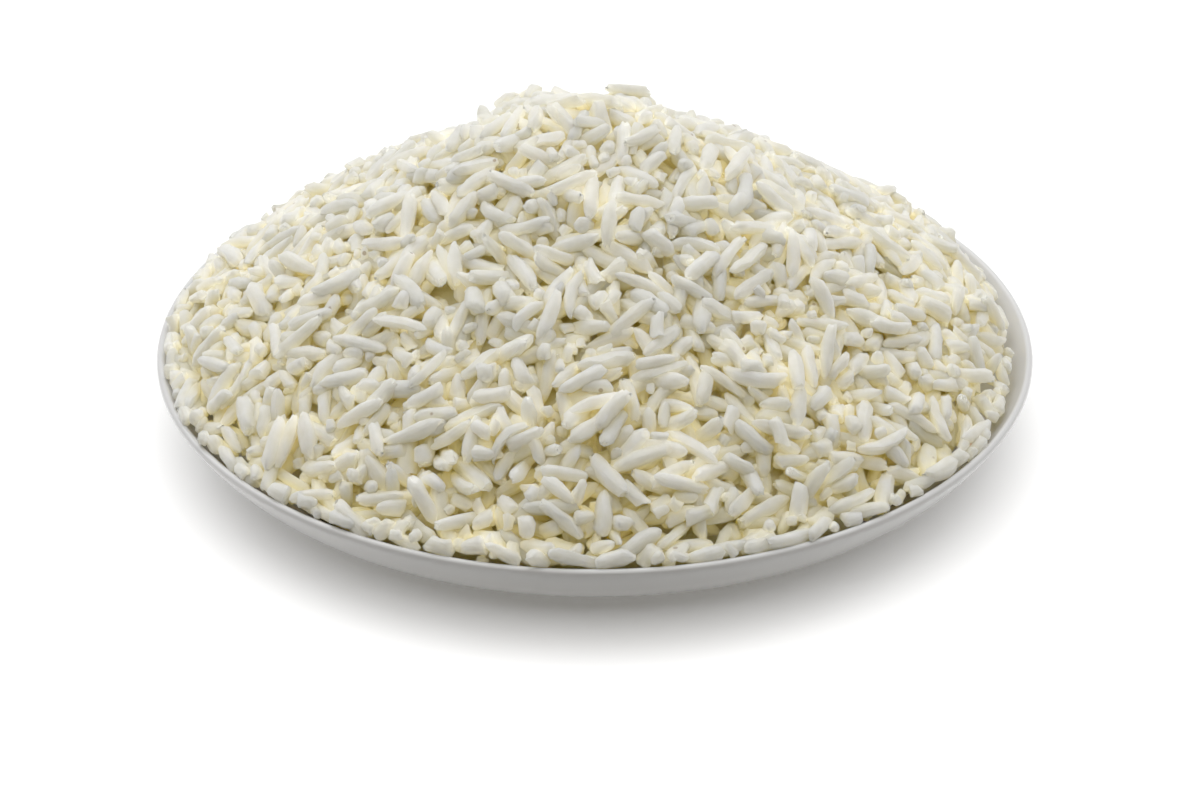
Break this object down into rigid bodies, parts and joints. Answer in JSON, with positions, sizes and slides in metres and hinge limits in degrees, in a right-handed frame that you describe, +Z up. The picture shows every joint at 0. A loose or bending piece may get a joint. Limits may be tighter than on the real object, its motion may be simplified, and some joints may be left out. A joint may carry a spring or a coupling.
{
  "type": "boiled rice on a plate",
  "caption": "Boiled long-grain white rice heaped in a rounded cone that fills a small round white plate with a thin lip and a foot ring.",
  "frame": {"origin": "centre of the foot ring's lower edge, on the table", "axes": "+Z up, -Y towards the viewer of the picture, +X to the viewer's right"},
  "size_m": [0.16, 0.16, 0.0631],
  "materials": {
    "porcelain": "white glaze, glossy, with a bare edge under the foot ring",
    "cooked_rice": "moist, slightly translucent white grains, warm in the gaps"
  },
  "bodies": {
    "root": {"plate": "porcelain", "rice_heap": "cooked_rice"}
  },
  "joints": []
}
